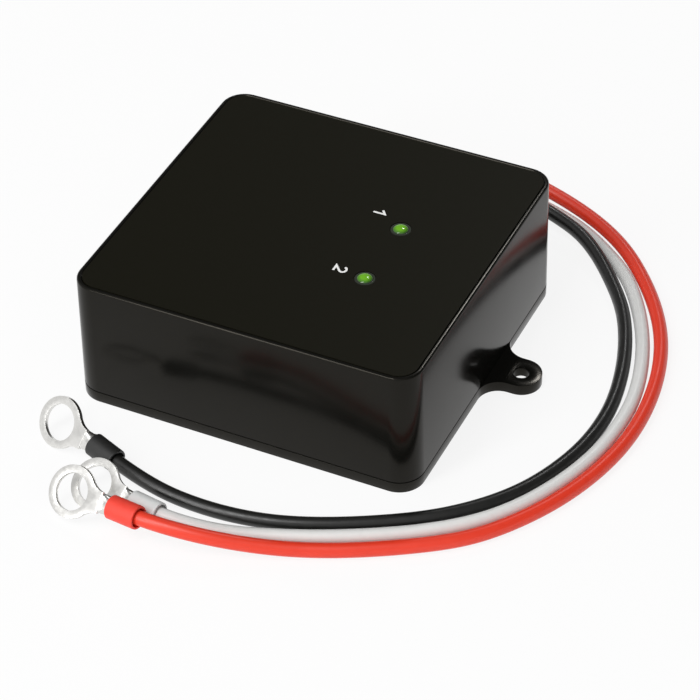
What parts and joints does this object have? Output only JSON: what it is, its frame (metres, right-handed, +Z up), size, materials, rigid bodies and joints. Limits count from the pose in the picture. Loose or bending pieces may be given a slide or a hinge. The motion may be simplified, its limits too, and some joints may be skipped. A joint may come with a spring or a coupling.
{
  "type": "battery balancer",
  "caption": "Battery balancer: black moulded case with mounting ears and green indicator lamps, with red, white and black leads that end in ring terminals.",
  "frame": {"origin": "centre of the case's underside, at the height of the surface it stands on", "axes": "+X to the right from one ear to the other, +Y to the back wall that the leads leave, +Z up"},
  "size_m": [0.1112, 0.1247, 0.0277],
  "materials": {
    "case_plastic": "glossy moulded ABS",
    "base_plastic": "glossy moulded ABS",
    "panel_film": "smooth printed film",
    "screw_steel": "zinc plated",
    "lamp_green": "tinted clear epoxy",
    "spacer_nylon": "moulded nylon",
    "black_rubber": "moulded rubber",
    "board_green": "solder resist on glass epoxy",
    "core_yellow": "coated powder core",
    "copper_wire": "enamelled copper",
    "chip_black": "moulded epoxy",
    "pad_silicone": "silicone pad",
    "spreader_aluminium": "extruded",
    "capacitor_sleeve": "shrink sleeve",
    "ceramic": "fired ceramic",
    "tin": "bright tinned copper",
    "red_pvc": "extruded PVC",
    "white_pvc": "extruded PVC",
    "black_pvc": "extruded PVC",
    "red_vinyl": "soft vinyl",
    "white_vinyl": "soft translucent vinyl",
    "black_vinyl": "soft vinyl"
  },
  "bodies": {
    "root": {"cover": "case_plastic", "top_panel": "panel_film", "base_plate": "base_plastic", "case_screws": "screw_steel", "led_1": "lamp_green", "led_2": "lamp_green", "led_spacers": "spacer_nylon", "lead_grommet": "black_rubber", "circuit_board": "board_green", "board_screws": "screw_steel", "inductor_core": "core_yellow", "inductor_winding": "copper_wire", "power_transistors": "chip_black", "thermal_pad": "pad_silicone", "heat_spreader": "spreader_aluminium", "bulk_capacitors": "capacitor_sleeve", "control_chip": "chip_black", "driver_chip": "chip_black", "shunt_resistors": "chip_black", "fuse_link": "ceramic", "chip_parts": "ceramic", "lead_joints": "tin", "red_lead_tail": "red_pvc", "white_lead_tail": "white_pvc", "black_lead_tail": "black_pvc", "red_lead": "red_pvc", "white_lead": "white_pvc", "black_lead": "black_pvc", "red_terminal": "tin", "white_terminal": "tin", "black_terminal": "tin", "red_sleeve": "red_vinyl", "white_sleeve": "white_vinyl", "black_sleeve": "black_vinyl"}
  },
  "joints": []
}
